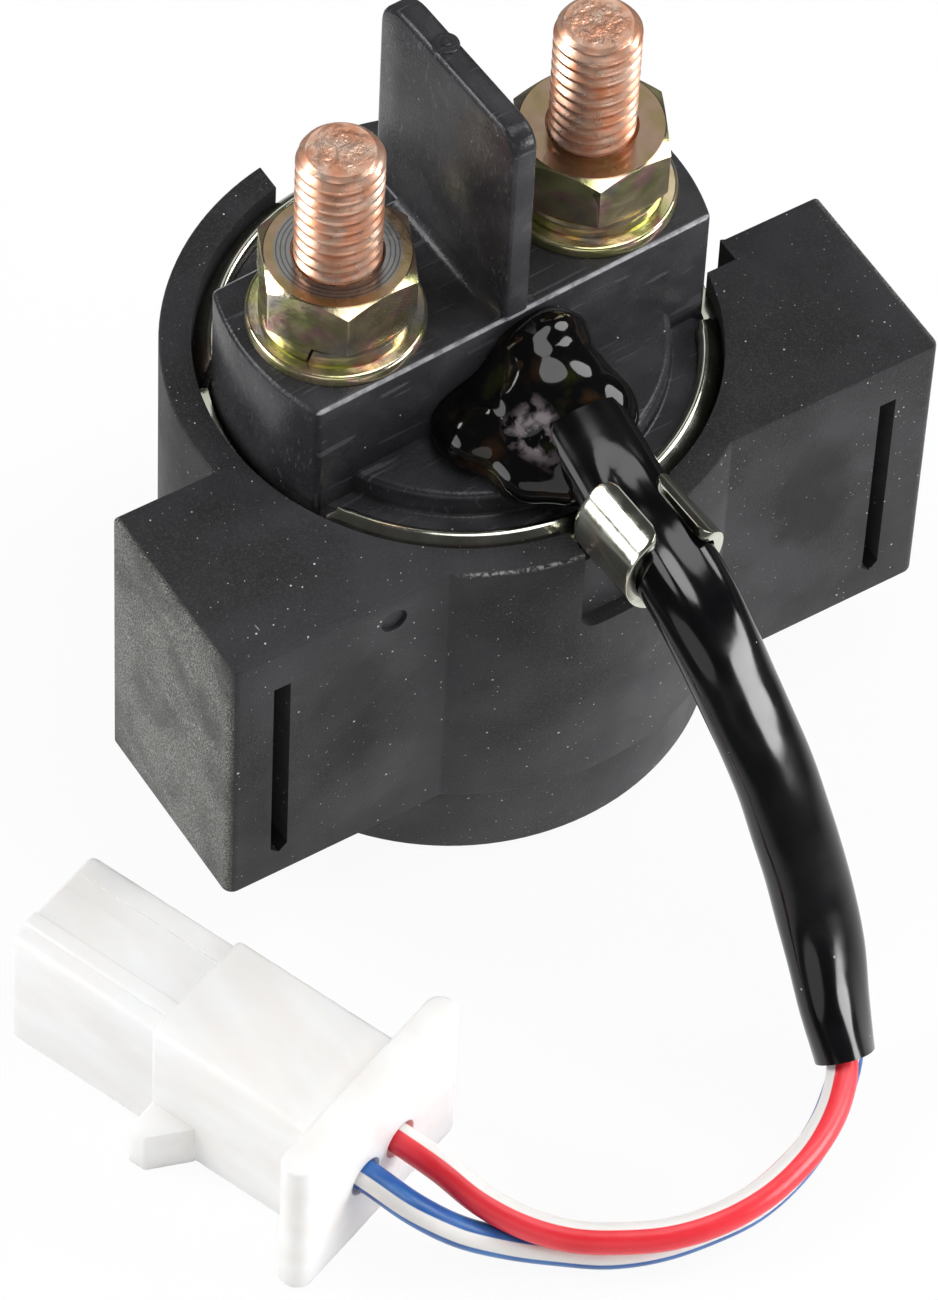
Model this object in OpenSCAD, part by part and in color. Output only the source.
// Solenoid switch: a canned plunger relay in a rubber mount, with a sleeved
// two-wire lead and a two-way connector. Millimetres, +Z up. The origin is the
// middle of the can's underside, and the two terminal studs stand along X.

/* [Can] */
// Outer radius of the drawn steel can
can_r = 18; // [17.4:0.1:20]
// Wall of the can
can_wall = 0.8; // [0.6:0.05:1]
// Floor of the can
can_floor = 1; // [0.8:0.1:1.4]
// Round along the can's bottom edge
can_edge_r = 1.2; // [0.9:0.1:1.8]
// Outer radius of the rim's inward roll
rim_roll_r = 1.8; // [1.6:0.05:2.2]

/* [Lead crimp on the can] */
// Width of the tongue that carries the crimp
crimp_strap_w = 5.2; // [4:0.1:6]
// Distance of the crimp's near end from the can's axis
crimp_near = 19.2; // [18.8:0.1:20.5]
// Distance of the crimp's far end from the can's axis
crimp_far = 25.2; // [23:0.1:27]
// Inner radius of the crimp
crimp_r = 3.15; // [3.1:0.05:3.6]
// Sheet thickness of the tongue and the crimp
crimp_t = 0.8; // [0.6:0.05:1]
// Half of the angle that the crimp leaves open on top
crimp_open_deg = 26; // [10:1:40]

/* [Rubber mount] */
// Turn of the mount on the can, as it was pushed on
mount_turn_deg = -2.7; // [-6:0.1:6]
// Wall of the gripping ring
grip_wall = 2.2; // [1.8:0.1:3]
// Height of the lower edge of the ring and the wings
grip_z = 8.75; // [7:0.25:10]
// How far the ring and the wings stand above the can's rim
grip_over_rim = 0.2; // [0:0.1:0.8]
// Wall of the thin skirt below the ring
skirt_wall = 0.8; // [0.6:0.1:1.2]
// Height of the skirt's lower edge above the can's underside
skirt_z = 0.8; // [0.4:0.1:2]
// Half of the span over both wings
wing_half = 28; // [27:0.5:32]
// Distance from the can's axis to the wings' front face
wing_front = 17; // [15:0.5:18]
// Distance from the can's axis to the wings' back face
wing_back = 1.6; // [1:0.1:3]
// Rounding of the wings' upright edges
wing_corner_r = 1.6; // [1:0.1:2.5]
// Distance of each mounting slot from its wing's end
slot_inset = 4; // [2.5:0.5:5]
// Width of the slots, which take a flat bracket tongue
slot_w = 1.3; // [1:0.1:2]
// Rubber left under the slots
slot_foot = 2.45; // [1.5:0.05:4]
// Rubber left over the slots
slot_head = 3.7; // [2:0.1:5]
// Width of the notch for the lead
lead_notch_w = 7.4; // [6.6:0.2:9]
// Depth of the notch for the lead
lead_notch_h = 8.2; // [6:0.2:10]
// Width of the split in the back of the ring
back_split_w = 6.2; // [4:0.2:8]
// Length of the relief beside the right wing
relief_len = 4.8; // [4:0.2:6]

/* [Terminal cover] */
// Gap between the cover and the can
cover_gap = 0.1; // [0.05:0.05:0.2]
// Wall of the cover's skirt
cover_wall = 1.7; // [1.4:0.1:2.2]
// Height from the skirt's lower edge to the foot of the flange's chamfer
flange_h = 5; // [4.6:0.1:6]
// Radius of the round pad on the flange
pad_r = 14.4; // [13.6:0.1:14.8]
// Height of the pad above the flange
pad_h = 2; // [1.2:0.1:3]
// Depth of the block, front to back
block_d = 12.8; // [12.4:0.2:14]
// Height of the block above the flange
block_h = 10.1; // [9.6:0.1:12]
// Wall of the block beside the contact space
block_wall = 1.5; // [1.3:0.1:1.6]
// Height of the contact space inside the block
cavity_h = 6.1; // [5.9:0.1:6.6]
// Radius of the pocket over the plunger rod
pocket_r = 4; // [3.8:0.1:4.6]
// Height of the pocket over the contact space
pocket_h = 1.8; // [1.6:0.1:2.6]
// Height of the barrier fin above the block
fin_h = 17.9; // [12:0.5:20]
// Thickness of the barrier fin
fin_t = 2; // [1.6:0.1:2.6]
// How far the fin reaches behind the can's axis
fin_back = 9.1; // [7:0.1:12]
// Rounding of the fin's upper back corner
fin_back_r = 2.5; // [1:0.1:4]
// Rounding of the fin's upper front corner
fin_front_r = 1.8; // [1:0.1:4]

/* [Terminals] */
// Distance between the two studs
stud_pitch = 20.4; // [20:0.1:20.8]
// Diameter over the threads of the studs' free ends
stud_d = 5.94; // [5.92:0.01:5.98]
// Diameter of the studs' shank, up to the nut's top
shank_d = 5.4; // [5.2:0.05:5.6]
// Length of the studs above their heads
stud_len = 22; // [19:0.5:26]
// Chamfer at the studs' ends
stud_chamfer = 0.6; // [0.3:0.1:1]
// Width of the studs' square heads
head_w = 8.6; // [8:0.1:9]
// Thickness of the studs' heads
head_t = 2.2; // [2:0.1:2.4]
// Outer diameter of the flat washers
flat_washer_d = 12.2; // [11:0.1:12.6]
// Hole in the flat washers
flat_washer_hole_d = 6.4; // [6.2:0.1:6.8]
// Thickness of the flat washers
flat_washer_t = 0.9; // [0.7:0.1:1.4]
// Outer diameter of the spring washers
spring_washer_d = 10.4; // [9.6:0.1:10.8]
// Hole in the spring washers
spring_washer_hole_d = 6.2; // [6.1:0.1:6.6]
// Thickness of the spring washers
spring_washer_t = 1.3; // [1:0.1:1.8]
// Gap at the spring washers' split
spring_washer_split = 0.7; // [0.4:0.1:1.2]
// Width of the nuts across their flats
nut_af = 10; // [9.6:0.1:10.2]
// Height of the nuts
nut_h = 4.6; // [4:0.1:5.4]

/* [Magnet] */
// Height of the coil bobbin
bobbin_h = 23; // [22.4:0.1:26]
// Wall of the bobbin's tube
bobbin_wall = 1.1; // [0.8:0.1:1.4]
// Thickness of the bobbin's flanges
bobbin_flange_t = 1; // [0.8:0.1:1.4]
// Gap from the bobbin's flanges to the can
bobbin_gap = 0.6; // [0.4:0.1:1]
// How far the winding stays inside the flanges' edge
winding_inset = 1.4; // [0.8:0.1:2.4]
// Thickness of the flux plate over the coil
plate_t = 1.6; // [1.2:0.1:2]
// Thickness of the gasket under the cover
gasket_t = 0.8; // [0.6:0.1:1.2]
// Radius of the plunger and the pole piece
plunger_r = 4.7; // [4.5:0.05:5]
// Gap round the plunger in its bobbin
plunger_gap = 0.1; // [0.05:0.01:0.12]
// Length of the plunger
plunger_h = 12.4; // [11.6:0.1:13]
// Height of the resting plunger above the can's floor
plunger_rest_gap = 0.3; // [0.2:0.1:0.5]
// Travel of the plunger
plunger_stroke = 3; // [2.6:0.1:3.2]
// Gap left under the pole piece at full travel
stop_gap = 0.3; // [0.1:0.05:0.5]
// Radius of the recesses that hold the return spring
spring_recess_r = 3.4; // [3.2:0.05:3.6]
// Depth of the spring recess in the plunger
plunger_recess = 4.2; // [3.6:0.1:5]
// Depth of the spring recess in the pole piece
pole_recess = 2; // [1.5:0.1:3]
// Radius of the plunger rod
rod_r = 1.4; // [1.3:0.02:1.5]
// Running gap round the rod
rod_gap = 0.06; // [0.04:0.01:0.1]
// How deep the rod is pressed into the plunger
rod_press = 2.5; // [2:0.1:4]
// Height of the rod above its clip
rod_tip = 0.75; // [0.5:0.05:1]
// Wire of the return spring
return_wire_r = 0.35; // [0.3:0.01:0.4]
// Mean radius of the return spring
return_coil_r = 2.6; // [2.5:0.02:2.7]
// Turns of the return spring
return_turns = 6; // [4:1:7]

/* [Contacts] */
// Gap between the bridge and the stud heads
contact_gap = 2; // [1.8:0.05:2.2]
// Length of the contact bridge
bridge_len = 28; // [25:0.5:28.4]
// Width of the contact bridge
bridge_w = 7.6; // [7:0.1:8]
// Thickness of the contact bridge
bridge_t = 1.2; // [1:0.1:1.3]
// Thickness of the insulating washer on the bridge
insulator_t = 0.8; // [0.6:0.1:1]
// Outer radius of the insulating washer and the bush's flange
insulator_r = 3.4; // [3.3:0.05:3.6]
// Thickness of the bush's flange
bush_flange_t = 0.6; // [0.5:0.05:0.7]
// Wall of the bush's sleeve
bush_wall = 0.6; // [0.4:0.05:0.8]
// Outer radius of the retaining clip
clip_r = 3; // [2.6:0.05:3.2]
// Thickness of the retaining clip
clip_t = 0.6; // [0.5:0.05:0.7]
// Gap between the clip and the insulating washer at rest
clip_gap = 0.05; // [0.03:0.01:0.1]
// Outer radius of the rod's collar
collar_r = 2.8; // [2.75:0.05:3.2]
// Thickness of the rod's collar
collar_t = 0.8; // [0.6:0.1:1]
// Gap between the collar and the pole piece at rest
collar_gap = 0.5; // [0.4:0.05:0.6]
// Wire of the contact spring
contact_wire_r = 0.3; // [0.25:0.01:0.32]
// Mean radius of the contact spring
contact_coil_r = 2.4; // [2.3:0.02:2.45]
// Turns of the contact spring
contact_turns = 3; // [2:1:4]

/* [Lead] */
// Diameter of each insulated wire
wire_d = 2.2; // [2:0.05:2.2]
// Distance between the two wires' middles inside the sleeve
wire_pitch = 2.26; // [2.24:0.01:2.3]
// Gap between the wires and the sleeve
sleeve_gap = 0.15; // [0.1:0.01:0.15]
// Wall of the sleeve
sleeve_wall = 0.75; // [0.5:0.05:0.75]
// Radius of the coil's two lead-out wires
coil_lead_r = 0.4; // [0.3:0.05:0.5]
// Gap round the coil's lead-out wires
coil_lead_gap = 0.1; // [0.05:0.05:0.2]

/* [Connector] */
// Length of the connector housing
conn_len = 28.3; // [27:0.1:32]
// Width of the rear flange
conn_flange_w = 17.8; // [14:0.1:20]
// Height of the rear flange
conn_flange_h = 13.6; // [13:0.1:15]
// Thickness of the rear flange
conn_flange_t = 2.5; // [2:0.1:3.5]
// Width of the housing's body
conn_body_w = 9.6; // [9.4:0.1:11]
// Height of the housing's body
conn_body_h = 12.2; // [12:0.1:12.8]
// Length from the rear face to the start of the nose
conn_body_len = 16; // [15.8:0.1:18]
// Width of the nose
conn_nose_w = 9; // [8.6:0.1:9.2]
// Height of the nose
conn_nose_h = 11.6; // [11.2:0.1:11.8]
// Wall round the socket in the nose
conn_wall = 1.2; // [1:0.05:1.3]
// Length of the socket
conn_socket_len = 15.3; // [14:0.1:16]
// Distance between the two ways of the connector
conn_pitch = 3.8; // [3.5:0.05:4]
// Radius of the wire entries
wire_entry_r = 1.5; // [1.4:0.02:1.6]
// Depth of the wire entries
wire_entry_len = 8.2; // [7.8:0.1:9]
// How far the latch lug stands out of the housing's side
latch_out = 2.7; // [1.5:0.1:3.5]
// Height of the latch lug
latch_h = 4; // [3:0.1:5]
// Length of the latch lug
latch_len = 3.7; // [3:0.1:4.2]
// Width of the rib along the nose
conn_rib_w = 1.4; // [1:0.1:1.8]
// Thickness of the blade terminals
blade_t = 0.8; // [0.6:0.05:0.9]
// Height of the blades
blade_h = 6.3; // [5:0.1:6.6]
// Distance from the blades' tips to the socket's mouth
blade_recess = 6.3; // [5.5:0.1:8]

/* [Hidden] */
$fn = 96;
// Facets of small round things
fn_small = 48;
// Overrun of the cuts
over = 1;
// Sides of a swept sleeve, and of a swept wire or spring
sleeve_sides = 12;
wire_sides = 8;
spring_sides = 6;
// Rings in each turn of a spring
spring_steps = 12;

// Radii inside the can
can_in_r = can_r - can_wall;
cover_r = can_in_r - cover_gap;
skirt_in_r = cover_r - cover_wall;
bobbin_flange_r = can_in_r - bobbin_gap;
bore_r = plunger_r + plunger_gap;
bobbin_tube_r = bore_r + bobbin_wall;
winding_r = bobbin_flange_r - winding_inset;
fit_gap = 0.05;

// Heights of the stack, from the can's floor upwards
bobbin_top = can_floor + bobbin_h;
plate_top = bobbin_top + plate_t;
gasket_top = plate_top + gasket_t;
roll_z = gasket_top + flange_h;
rim_top = roll_z + rim_roll_r;
flange_top = roll_z + rim_roll_r - can_wall - cover_gap;
flange_edge_r = cover_r - (rim_roll_r - can_wall) + cover_gap + fit_gap;
pad_top = flange_top + pad_h;
block_top = flange_top + block_h;
fin_top = block_top + fin_h;
chamber_h = flange_h - bush_flange_t / 2;
chamber_top = gasket_top + chamber_h;
ceiling_z = chamber_top + cavity_h;
cavity_w = block_d - 2 * block_wall;
fin_front = block_d / 2;

// Magnet and contacts
plunger_z = can_floor + plunger_rest_gap;
plunger_top = plunger_z + plunger_h;
spring_floor = plunger_top - plunger_recess;
pole_z = plunger_top + plunger_stroke + stop_gap;
spring_roof = pole_z + pole_recess;
rod_z = spring_floor - rod_press;
collar_z = plate_top + collar_gap;
collar_top = collar_z + collar_t;
rod_hole_r = rod_r + rod_gap;
head_z = ceiling_z - head_t;
bridge_z = head_z - contact_gap - bridge_t;
bush_z = bridge_z - bush_flange_t;
bridge_top = bridge_z + bridge_t;
insulator_top = bridge_top + insulator_t;
clip_z = insulator_top + clip_gap;
clip_top = clip_z + clip_t;
rod_top = clip_top + rod_tip;
bush_r = rod_hole_r + bush_wall;
clip_mouth_share = 0.8;

// Terminals
stud_r = stud_d / 2;
shank_r = shank_d / 2;
stud_x = stud_pitch / 2;
stud_hole_r = stud_r + fit_gap;
washer_top = block_top + flat_washer_t;
nut_z = washer_top + spring_washer_t;
free_end_z = nut_z + nut_h + stud_chamfer / 3;
nut_corner_r = nut_af / 2 / cos(30);
nut_turn_deg = [3, 1];
split_turn_deg = [-125, -70];

// Rubber mount
mount_in_r = can_r + cover_gap;
mount_out_r = mount_in_r + grip_wall;
skirt_out_r = mount_in_r + skirt_wall;
grip_top = rim_top + grip_over_rim;
grip_h = grip_top - grip_z;
lead_notch_z = grip_top - lead_notch_h;
back_split_x = -back_split_w / 2 - fin_t / 3;
relief_y = wing_back + relief_len * 0.42;
relief_x = mount_out_r - grip_wall / 9;
slot_x = wing_half - slot_inset;
slot_z = grip_z + slot_foot;
slot_top = grip_top - slot_head;
slot_tip = slot_w / 2;
lead_notch_r = lead_notch_w / 6;

// Crimp, which holds the sleeve over the tongue
crimp_z = pad_top + crimp_t + block_h / 17;
crimp_out_r = crimp_r + crimp_t;
crimp_turn_deg = 9;

// Potting: places and radii of its lumps, as shares of the pad's radius, from the pad's top
pot_lump_shares = [
  [-0.32, -0.55, 0.17, 0.17], [0.35, -0.55, 0.17, 0.17], [0.04, -0.50, 0.34, 0.19],
  [-0.14, -0.85, 0.14, 0.17], [0.24, -0.85, 0.14, 0.17], [0.05, -0.92, 0.27, 0.20],
  [0.03, -1.08, 0.17, 0.16]
];

// Lead: the sleeve's route, and how far the pair of wires has turned at each of its points
sleeve_route = [
  [0.8, -13.0, 37.6], [0.5, -16.6, 36.8], [0.2, -20.1, 36.0], [0.1, -23.7, 35.5], [0.2, -27.1, 33.9],
  [0.5, -29.6, 31.4], [1.0, -31.6, 28.3], [1.5, -33.5, 25.2], [2.0, -35.2, 22.0], [2.3, -36.8, 18.7],
  [2.6, -38.3, 15.4], [2.7, -39.9, 12.1], [2.5, -41.8, 9.0], [1.9, -43.9, 6.1], [1.1, -46.5, 3.6]
];
pair_turn_deg = [0, 0, 0, 0, 0, 0, 0, 0, 0, 0, 0, 12, 35, 62, 90];
red_inner = [-0.4, -10.8, 37.7];
blue_inner = [2.0, -10.8, 37.7];
red_outer = [
  [-1.6, -49.2, 3.6], [-4.4, -50.9, 3.4], [-7.5, -52.0, 3.4], [-10.7, -52.6, 3.4], [-14.0, -52.5, 3.4],
  [-17.2, -51.7, 3.4], [-20.1, -50.2, 3.4], [-22.7, -48.3, 3.4], [-24.9, -45.9, 3.8], [-26.6, -43.2, 4.6],
  [-27.8, -40.3, 5.7], [-28.9, -37.3, 6.1], [-29.9, -34.3, 6.1]
];
blue_outer = [
  [-0.9, -48.2, 1.4], [-3.7, -49.9, 1.2], [-6.9, -51.2, 1.2], [-10.4, -51.9, 1.2], [-13.8, -51.7, 1.2],
  [-17.3, -51.0, 1.2], [-20.5, -49.6, 1.2], [-23.3, -47.6, 1.4], [-26.1, -45.6, 2.0], [-28.8, -43.8, 3.4],
  [-31.0, -41.7, 5.2], [-32.4, -38.7, 6.1], [-33.5, -35.5, 6.1]
];
wire_r = wire_d / 2;
bore_half_r = wire_r + sleeve_gap;
sleeve_half_r = bore_half_r + sleeve_wall;
lead_side = [for (i = [0:len(sleeve_route) - 1]) pair_side(i)];
red_route = concat([red_inner], beside_middle(1), red_outer);
blue_route = concat([blue_inner], beside_middle(-1), blue_outer);
coil_lead_places = [[red_inner[0], red_inner[1]], [blue_inner[0], blue_inner[1]]];
coil_lead_top = red_inner[2] - wire_r - fit_gap;

// Connector, in its own frame: rear face at zero, mating direction +X, resting on z = 0
conn_place = [-30.8, -37.6, 0];
conn_turn_deg = 108.7;
way_z = conn_body_h / 2;
conn_flange_edge_r = conn_flange_t / 2;
nose_drop = (conn_body_h - conn_nose_h) / 3;
nose_chamfer = conn_wall * 0.7;
latch_x = conn_body_len - latch_len - nose_drop;
socket_x = conn_len - conn_socket_len;
barrel_r = wire_entry_r - 2 * fit_gap;
barrel_x = wire_entry_len * 0.38;
blade_end = conn_len - blade_recess;
blade_gap = 0.1;

// Direction at a point of a route
function heading(route, i) =
  let (a = route[max(i - 1, 0)], b = route[min(i + 1, len(route) - 1)]) (b - a) / norm(b - a);

// Level direction square to a route
function level_side(t) = let (s = cross(t, [0, 0, 1])) s / norm(s);

// Direction from the blue wire to the red one, inside the sleeve
function pair_side(i) =
  let (t = heading(sleeve_route, i), s = level_side(t), w = cross(s, t), a = pair_turn_deg[i])
  cos(a) * s + sin(a) * w;

// Points of one wire inside the sleeve
function beside_middle(side) =
  [for (i = [0:len(sleeve_route) - 1]) sleeve_route[i] + side * lead_side[i] * wire_pitch / 2];

// One ring of a round tube, or of one drawn out to hold two wires side by side
function ring(p, t, s, r, half = 0, sides) =
  let (w = cross(s, t))
  [for (k = [0:sides - 1])
    let (c = cos(360 * k / sides), q = sin(360 * k / sides), out = abs(c) < 0.01 ? 0 : sign(c) * half)
    p + (out + r * c) * s + r * q * w];

// Triangles between two neighbouring rings whose first points have these numbers
function band(a, b, sides, flip = false) =
  [for (k = [0:sides - 1]) let (n = (k + 1) % sides)
    each flip ? [[a + k, b + k, b + n], [a + k, b + n, a + n]]
              : [[a + k, a + n, b + n], [a + k, b + n, b + k]]];

// A solid tube swept along a route
module tube(route, r, sides) {
  last = len(route) - 1;
  points = [for (i = [0:last])
    let (t = heading(route, i)) each ring(route[i], t, level_side(t), r, 0, sides)];
  faces = concat(
    [[for (k = [0:sides - 1]) sides - 1 - k]],
    [for (i = [0:last - 1]) each band(i * sides, (i + 1) * sides, sides)],
    [[for (k = [0:sides - 1]) last * sides + k]]
  );
  polyhedron(points = points, faces = faces, convexity = 6);
}

// Rings along the sleeve's route, drawn out to hold both wires
function pair_rings(r, stretch = 0) =
  let (last = len(sleeve_route) - 1)
  [for (i = [0:last])
    let (t = heading(sleeve_route, i))
    let (p = sleeve_route[i] + (i == 0 ? -stretch : i == last ? stretch : 0) * t)
    each ring(p, t, lead_side[i], r, wire_pitch / 2, sleeve_sides)];

// Solid of the sleeve's outer form
module pair_form(r, stretch = 0) {
  last = len(sleeve_route) - 1;
  faces = concat(
    [[for (k = [0:sleeve_sides - 1]) sleeve_sides - 1 - k]],
    [for (i = [0:last - 1]) each band(i * sleeve_sides, (i + 1) * sleeve_sides, sleeve_sides)],
    [[for (k = [0:sleeve_sides - 1]) last * sleeve_sides + k]]
  );
  polyhedron(points = pair_rings(r, stretch), faces = faces, convexity = 6);
}

// The hollow sleeve: an outer and an inner tube, joined at both ends
module pair_sleeve(r_out, r_in) {
  n = sleeve_sides;
  last = len(sleeve_route) - 1;
  inner = (last + 1) * n;
  faces = concat(
    [for (i = [0:last - 1]) each band(i * n, (i + 1) * n, n)],
    [for (i = [0:last - 1]) each band(inner + i * n, inner + (i + 1) * n, n, true)],
    band(0, inner, n, true),
    band(last * n, inner + last * n, n)
  );
  polyhedron(points = concat(pair_rings(r_out), pair_rings(r_in)), faces = faces, convexity = 6);
}

// Points of a coil spring that stands between two heights
function coil_route(coil_r, z0, z1, turns) =
  [for (i = [0:turns * spring_steps])
    let (a = 360 * i / spring_steps, share = i / (turns * spring_steps))
    [coil_r * cos(a), coil_r * sin(a), z0 + (z1 - z0) * share]];

// A coil spring whose wire stays between two heights
module coil_spring(coil_r, wire_r, z0, z1, turns) {
  gap = (z1 - z0 - 2 * wire_r) / turns - 2 * wire_r;
  echo(spring_turn_gap = gap);
  tube(coil_route(coil_r, z0 + wire_r, z1 - wire_r, turns), wire_r, spring_sides);
}

// Box centred on the Z axis in plan
module post(w, d, z0, z1) {
  translate([-w / 2, -d / 2, z0]) cube([w, d, z1 - z0]);
}

// Ring between two heights
module band_ring(r_out, r_in, z0, z1) {
  difference() {
    translate([0, 0, z0]) cylinder(r = r_out, h = z1 - z0);
    translate([0, 0, z0 - over]) cylinder(r = r_in, h = z1 - z0 + 2 * over);
  }
}

// Rectangle with all four corners rounded
module round_rect(x0, x1, y0, y1, r) {
  translate([x0 + r, y0]) square([x1 - x0 - 2 * r, y1 - y0]);
  translate([x0, y0 + r]) square([x1 - x0, y1 - y0 - 2 * r]);
  for (x = [x0 + r, x1 - r], y = [y0 + r, y1 - r]) translate([x, y]) circle(r);
}

// Both terminals' places
module at_studs() {
  for (i = [0, 1]) translate([(2 * i - 1) * stud_x, 0, 0]) children();
}

// The connector's own frame
module at_connector() {
  translate(conn_place) rotate(conn_turn_deg) children();
}

// Plan of the ring and the two wings
module grip_outline() {
  circle(mount_out_r);
  round_rect(-wing_half, wing_half, -wing_front, -wing_back, wing_corner_r);
}

// Upright slot through a wing, with a pointed lower tip
module wing_slot(x) {
  translate([x, -wing_back + over, 0]) rotate([90, 0, 0])
    linear_extrude(wing_front - wing_back + 2 * over)
      polygon([[-slot_w / 2, slot_z + slot_tip], [0, slot_z], [slot_w / 2, slot_z + slot_tip],
               [slot_w / 2, slot_top], [-slot_w / 2, slot_top]]);
}

module rubber_mount() {
  color("#2c2c2d") rotate(mount_turn_deg) difference() {
    union() {
      translate([0, 0, grip_z]) linear_extrude(grip_h) grip_outline();
      translate([0, 0, skirt_z]) cylinder(r = skirt_out_r, h = grip_z - skirt_z + over);
    }
    translate([0, 0, skirt_z - over])
      cylinder(r = mount_in_r, h = grip_top - skirt_z + 2 * over);
    for (s = [-1, 1]) wing_slot(s * slot_x);
    rotate([90, 0, 0]) linear_extrude(mount_out_r + over)
      round_rect(-lead_notch_w / 2, lead_notch_w / 2, lead_notch_z, grip_top + 2 * lead_notch_r,
                 lead_notch_r);
    translate([back_split_x, 0, grip_z]) cube([back_split_w, mount_out_r + over, grip_h + over]);
    translate([can_r - over, -relief_y, grip_z]) cube([relief_x - can_r + over, relief_len, grip_h + over]);
    translate([can_r - over, -wing_back, grip_z])
      cube([2 * over + grip_wall, relief_len - relief_y + wing_back, grip_h + over]);
  }
}

// Half section of the can's body, floor and wall
module can_section(r, edge_r, z0, z1) {
  translate([0, z0]) square([r - edge_r, z1 - z0]);
  translate([0, z0 + edge_r]) square([r, z1 - z0 - edge_r]);
  translate([r - edge_r, z0 + edge_r]) circle(edge_r);
}

// Half section of the rolled rim: a quarter of a ring, and its foot in the wall
module roll_section() {
  translate([can_r - rim_roll_r, roll_z]) intersection() {
    difference() {
      circle(rim_roll_r);
      circle(rim_roll_r - can_wall);
    }
    square(rim_roll_r);
  }
  translate([can_in_r, roll_z - can_wall]) square([can_wall, can_wall + fit_gap]);
}

// Open tube that wraps the sleeve, on its tongue from the rim
module lead_crimp() {
  translate([-crimp_strap_w / 2, -crimp_far, crimp_z - crimp_out_r])
    cube([crimp_strap_w, crimp_far - can_in_r - fit_gap, crimp_t - fit_gap]);
  translate([0, -crimp_near, crimp_z]) rotate([90, 0, 0]) difference() {
    cylinder(r = crimp_out_r, h = crimp_far - crimp_near, $fn = fn_small);
    translate([0, 0, -over]) cylinder(r = crimp_r, h = crimp_far - crimp_near + 2 * over, $fn = fn_small);
    rotate(90 - crimp_turn_deg) translate([0, 0, -over]) linear_extrude(crimp_far - crimp_near + 2 * over)
      polygon([[0, 0], [2 * crimp_out_r, -2 * crimp_out_r * tan(crimp_open_deg)],
               [2 * crimp_out_r, 2 * crimp_out_r * tan(crimp_open_deg)]]);
  }
}

module can_shell() {
  color("#b9bba9") {
    rotate_extrude() difference() {
      can_section(can_r, can_edge_r, 0, roll_z);
      can_section(can_in_r, can_edge_r - can_wall / 2, can_floor, roll_z + over);
    }
    difference() {
      rotate_extrude() roll_section();
      post(2 * can_r + over, block_d + 2 * cover_gap, roll_z - can_wall - over, rim_top + over);
    }
    intersection() {
      band_ring(can_r, can_in_r, roll_z - can_wall, rim_top);
      post(2 * can_r + over, block_d + 4 * cover_gap, roll_z - can_wall - over, rim_top + over);
    }
    lead_crimp();
  }
}

// Outline of the barrier fin, seen from the side
module fin_outline() {
  difference() {
    translate([-fin_front, flange_top]) square([fin_front + fin_back, fin_top - flange_top]);
    translate([fin_back - fin_back_r, fin_top - fin_back_r]) square(fin_back_r + over);
    translate([-fin_front - over, fin_top - fin_front_r]) square([fin_front_r + over, fin_front_r + over]);
  }
  translate([fin_back - fin_back_r, fin_top - fin_back_r]) circle(fin_back_r);
  translate([-fin_front + fin_front_r, fin_top - fin_front_r]) circle(fin_front_r);
}

// The cover's outside: skirt, flange, pad, block and fin
module cover_form() {
  translate([0, 0, gasket_top]) cylinder(r = cover_r, h = flange_h);
  rotate_extrude() polygon([[0, roll_z], [cover_r, roll_z], [flange_edge_r, flange_top], [0, flange_top]]);
  translate([0, 0, flange_top]) cylinder(r = pad_r, h = pad_h);
  intersection() {
    translate([0, 0, roll_z]) cylinder(r = cover_r, h = block_top - roll_z);
    post(2 * can_r, block_d, roll_z, block_top);
  }
  translate([-fin_t / 2, 0, 0]) rotate([90, 0, 90]) linear_extrude(fin_t) fin_outline();
}

module terminal_cover() {
  color("#1d1d1f") difference() {
    cover_form();
    translate([0, 0, gasket_top - over]) cylinder(r = skirt_in_r, h = chamber_h + over);
    intersection() {
      translate([0, 0, chamber_top - over]) cylinder(r = skirt_in_r, h = cavity_h + over);
      post(2 * skirt_in_r, cavity_w, chamber_top - over, ceiling_z);
    }
    translate([0, 0, ceiling_z - over]) cylinder(r = pocket_r, h = pocket_h + over);
    at_studs() translate([0, 0, ceiling_z - over])
      cylinder(r = stud_hole_r, h = block_top - ceiling_z + 2 * over);
    coil_lead_holes(coil_lead_r + coil_lead_gap, chamber_top - over, pad_top + over);
  }
}

// Threaded terminal with a square head that is also the fixed contact
module stud(side) {
  translate([side * stud_x, 0, 0]) {
    post(head_w, head_w, head_z, ceiling_z);
    translate([0, 0, ceiling_z]) cylinder(r = shank_r, h = stud_len - stud_chamfer);
    translate([0, 0, free_end_z])
      cylinder(r = stud_r, h = ceiling_z + stud_len - stud_chamfer - free_end_z);
    translate([0, 0, ceiling_z + stud_len - stud_chamfer])
      rotate_extrude()
        polygon([[0, 0], [stud_r, 0], [stud_r - stud_chamfer, stud_chamfer], [0, stud_chamfer]]);
  }
}

module stud_left() {
  color("#c07a55") stud(-1);
}

module stud_right() {
  color("#c07a55") stud(1);
}

module flat_washers() {
  color("#c9b267") at_studs() band_ring(flat_washer_d / 2, flat_washer_hole_d / 2, block_top, washer_top);
}

module spring_washers() {
  color("#c9b267") for (i = [0, 1]) translate([(2 * i - 1) * stud_x, 0, 0]) difference() {
    band_ring(spring_washer_d / 2, spring_washer_hole_d / 2, washer_top, nut_z);
    rotate(split_turn_deg[i]) translate([0, -spring_washer_split / 2, washer_top - over])
      cube([spring_washer_d, spring_washer_split, spring_washer_t + 2 * over]);
  }
}

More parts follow.
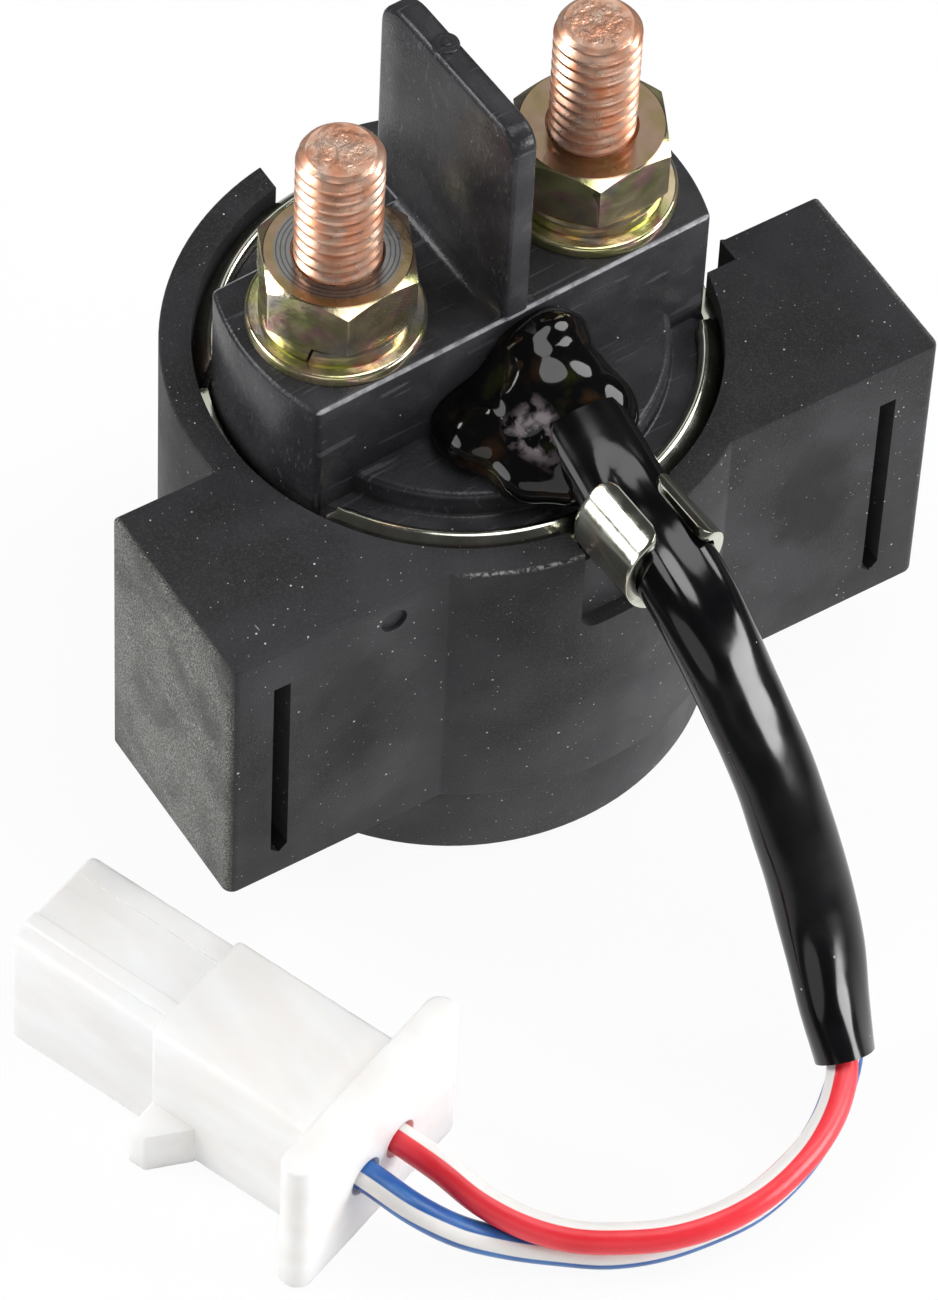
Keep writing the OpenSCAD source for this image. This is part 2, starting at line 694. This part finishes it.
// Nut with its corners chamfered above and below
module hex_nut() {
  chamfer_h = (nut_corner_r - nut_af / 2) / 2;
  difference() {
    intersection() {
      cylinder(r = nut_corner_r, h = nut_h, $fn = 6);
      rotate_extrude() polygon([[0, 0], [nut_af / 2, 0], [nut_corner_r, chamfer_h],
                                [nut_corner_r, nut_h - chamfer_h], [nut_af / 2, nut_h], [0, nut_h]]);
    }
    translate([0, 0, -over]) cylinder(r = stud_r + fit_gap, h = nut_h + 2 * over);
  }
}

module hex_nuts() {
  color("#d0b465") for (i = [0, 1])
    translate([(2 * i - 1) * stud_x, 0, nut_z]) rotate(nut_turn_deg[i]) hex_nut();
}

module potting() {
  color("#101012") difference() {
    hull() for (s = pot_lump_shares)
      translate([s[0] * pad_r, s[1] * pad_r, pad_top + s[2] * pad_r]) sphere(s[3] * pad_r, $fn = 24);
    cover_form();
    pair_form(sleeve_half_r + fit_gap, fit_gap);
    tube(red_route, wire_r + fit_gap, wire_sides);
    tube(blue_route, wire_r + fit_gap, wire_sides);
    coil_lead_holes(coil_lead_r + fit_gap, pad_top - over, coil_lead_top);
  }
}

module lead_sleeve() {
  color("#17171a") pair_sleeve(sleeve_half_r, bore_half_r);
}

module wire_red() {
  color("#d9343c") tube(red_route, wire_r, wire_sides);
}

module wire_blue() {
  color("#2d4f9c") tube(blue_route, wire_r, wire_sides);
}

// Round holes that both lead-out wires of the coil pass through
module coil_lead_holes(r, z0, z1) {
  for (p = coil_lead_places) translate([p[0], p[1], z0]) cylinder(r = r, h = z1 - z0, $fn = fn_small);
}

// Both ways of the connector, side by side
module at_ways() {
  for (s = [-1, 1]) translate([0, s * conn_pitch / 2, way_z]) children();
}

// Box that is centred in Y
module rail(x0, x1, w, z0, z1) {
  translate([x0, -w / 2, z0]) cube([x1 - x0, w, z1 - z0]);
}

// The housing's outside, with its rib and latch lug
module housing_form() {
  half = conn_flange_w / 2 - conn_flange_edge_r;
  rail(0, conn_flange_t, 2 * half, 0, conn_flange_h);
  for (s = [-1, 1]) translate([conn_flange_edge_r, s * half, 0])
    cylinder(r = conn_flange_edge_r, h = conn_flange_h, $fn = fn_small);
  rail(conn_flange_edge_r, conn_body_len, conn_body_w, 0, conn_body_h);
  difference() {
    rail(conn_body_len - over, conn_len, conn_nose_w, nose_drop, nose_drop + conn_nose_h);
    translate([conn_body_len, -conn_nose_w / 2, nose_drop + conn_nose_h]) rotate([45, 0, 0])
      translate([-over, -nose_chamfer, -nose_chamfer]) cube([conn_len, 2 * nose_chamfer, 2 * nose_chamfer]);
  }
  translate([conn_body_len - over, conn_nose_w / 2 - 2 * conn_rib_w, nose_drop + conn_nose_h - over])
    cube([conn_len - conn_body_len, conn_rib_w, over + nose_drop]);
  translate([latch_x, conn_body_w / 2 - over, 0]) linear_extrude(latch_h)
    polygon([[0, 0], [latch_len, 0], [latch_len, latch_out + over], [latch_len * 0.6, latch_out + over]]);
}

module connector_housing() {
  color("#e9e6df") at_connector() difference() {
    housing_form();
    translate([socket_x, -conn_nose_w / 2 + conn_wall, nose_drop + conn_wall])
      cube([conn_socket_len + over, conn_nose_w - 2 * conn_wall, conn_nose_h - 2 * conn_wall]);
    at_ways() {
      translate([-over, 0, 0]) rotate([0, 90, 0])
        cylinder(r = wire_entry_r, h = wire_entry_len + over, $fn = fn_small);
      translate([wire_entry_len - over, -blade_t / 2 - blade_gap, -blade_h / 2 - blade_gap])
        cube([socket_x - wire_entry_len + 2 * over, blade_t + 2 * blade_gap, blade_h + 2 * blade_gap]);
    }
  }
}

// Blade with the barrel that grips its wire
module blade_terminal() {
  blade_x = wire_entry_len - fit_gap;
  translate([barrel_x, 0, 0]) rotate([0, 90, 0])
    cylinder(r = barrel_r, h = wire_entry_len - barrel_x, $fn = fn_small);
  translate([blade_x, -blade_t / 2, -blade_h / 2]) cube([blade_end - blade_x, blade_t, blade_h]);
}

module blade_terminals() {
  color("#c8a45a") at_connector() at_ways() blade_terminal();
}

module coil_bobbin() {
  color("#e8e2cf") difference() {
    union() {
      translate([0, 0, can_floor]) cylinder(r = bobbin_flange_r, h = bobbin_flange_t);
      translate([0, 0, bobbin_top - bobbin_flange_t]) cylinder(r = bobbin_flange_r, h = bobbin_flange_t);
      translate([0, 0, can_floor]) cylinder(r = bobbin_tube_r, h = bobbin_h);
    }
    translate([0, 0, can_floor - over]) cylinder(r = bore_r, h = bobbin_h + 2 * over);
    coil_lead_holes(coil_lead_r + coil_lead_gap, bobbin_top - 2 * bobbin_flange_t, bobbin_top + over);
  }
}

module coil_winding() {
  color("#9c4a28")
    band_ring(winding_r, bobbin_tube_r + fit_gap, can_floor + bobbin_flange_t, bobbin_top - bobbin_flange_t);
}

module coil_leads() {
  color("#b5652f") coil_lead_holes(coil_lead_r, bobbin_top - bobbin_flange_t, coil_lead_top);
}

module pole_piece() {
  color("#9ea2a6") difference() {
    translate([0, 0, pole_z]) cylinder(r = plunger_r, h = plate_top - pole_z);
    translate([0, 0, pole_z - over]) cylinder(r = spring_recess_r, h = pole_recess + over);
    translate([0, 0, pole_z]) cylinder(r = rod_hole_r, h = plate_top - pole_z + over);
  }
}

module flux_plate() {
  color("#a7abb0") difference() {
    band_ring(cover_r, plunger_r + fit_gap, bobbin_top, plate_top);
    coil_lead_holes(coil_lead_r + coil_lead_gap, bobbin_top - over, plate_top + over);
  }
}

module cover_gasket() {
  color("#3a3a3c") band_ring(cover_r, skirt_in_r, plate_top, gasket_top);
}

module plunger() {
  color("#a9adb3") difference() {
    translate([0, 0, plunger_z]) cylinder(r = plunger_r, h = plunger_h);
    translate([0, 0, spring_floor]) cylinder(r = spring_recess_r, h = plunger_recess + over);
    translate([0, 0, rod_z]) cylinder(r = rod_r + fit_gap / 2, h = plunger_h);
  }
}

module plunger_rod() {
  color("#c3c7cc") {
    translate([0, 0, rod_z]) cylinder(r = rod_r, h = rod_top - rod_z);
    translate([0, 0, collar_z]) cylinder(r = collar_r, h = collar_t);
  }
}

module retaining_clip() {
  color("#8f9398") difference() {
    band_ring(clip_r, rod_r + fit_gap / 2, clip_z, clip_top);
    translate([0, -rod_r * clip_mouth_share, clip_z - over])
      cube([clip_r + over, 2 * rod_r * clip_mouth_share, clip_t + 2 * over]);
  }
}

module contact_bridge() {
  color("#c98a5b") difference() {
    post(bridge_len, bridge_w, bridge_z, bridge_top);
    translate([0, 0, bridge_z - over]) cylinder(r = bush_r + fit_gap, h = bridge_t + 2 * over);
  }
}

module contact_bush() {
  color("#d8cfb0") difference() {
    union() {
      translate([0, 0, bush_z]) cylinder(r = insulator_r, h = bush_flange_t);
      translate([0, 0, bush_z]) cylinder(r = bush_r, h = bridge_top - bush_z);
    }
    translate([0, 0, bush_z - over]) cylinder(r = rod_hole_r, h = bridge_top - bush_z + 2 * over);
  }
}

module insulating_washer() {
  color("#d8cfb0") band_ring(insulator_r, rod_hole_r, bridge_top, insulator_top);
}

module contact_spring() {
  color("#b0b4b8") coil_spring(contact_coil_r, contact_wire_r, collar_top, bush_z, contact_turns);
}

module return_spring() {
  color("#b0b4b8") coil_spring(return_coil_r, return_wire_r, spring_floor, spring_roof, return_turns);
}

rubber_mount();
can_shell();
terminal_cover();
stud_left();
stud_right();
flat_washers();
spring_washers();
hex_nuts();
potting();
lead_sleeve();
wire_red();
wire_blue();
connector_housing();
blade_terminals();
coil_bobbin();
coil_winding();
coil_leads();
pole_piece();
flux_plate();
cover_gasket();
plunger();
plunger_rod();
retaining_clip();
contact_bridge();
contact_bush();
insulating_washer();
contact_spring();
return_spring();
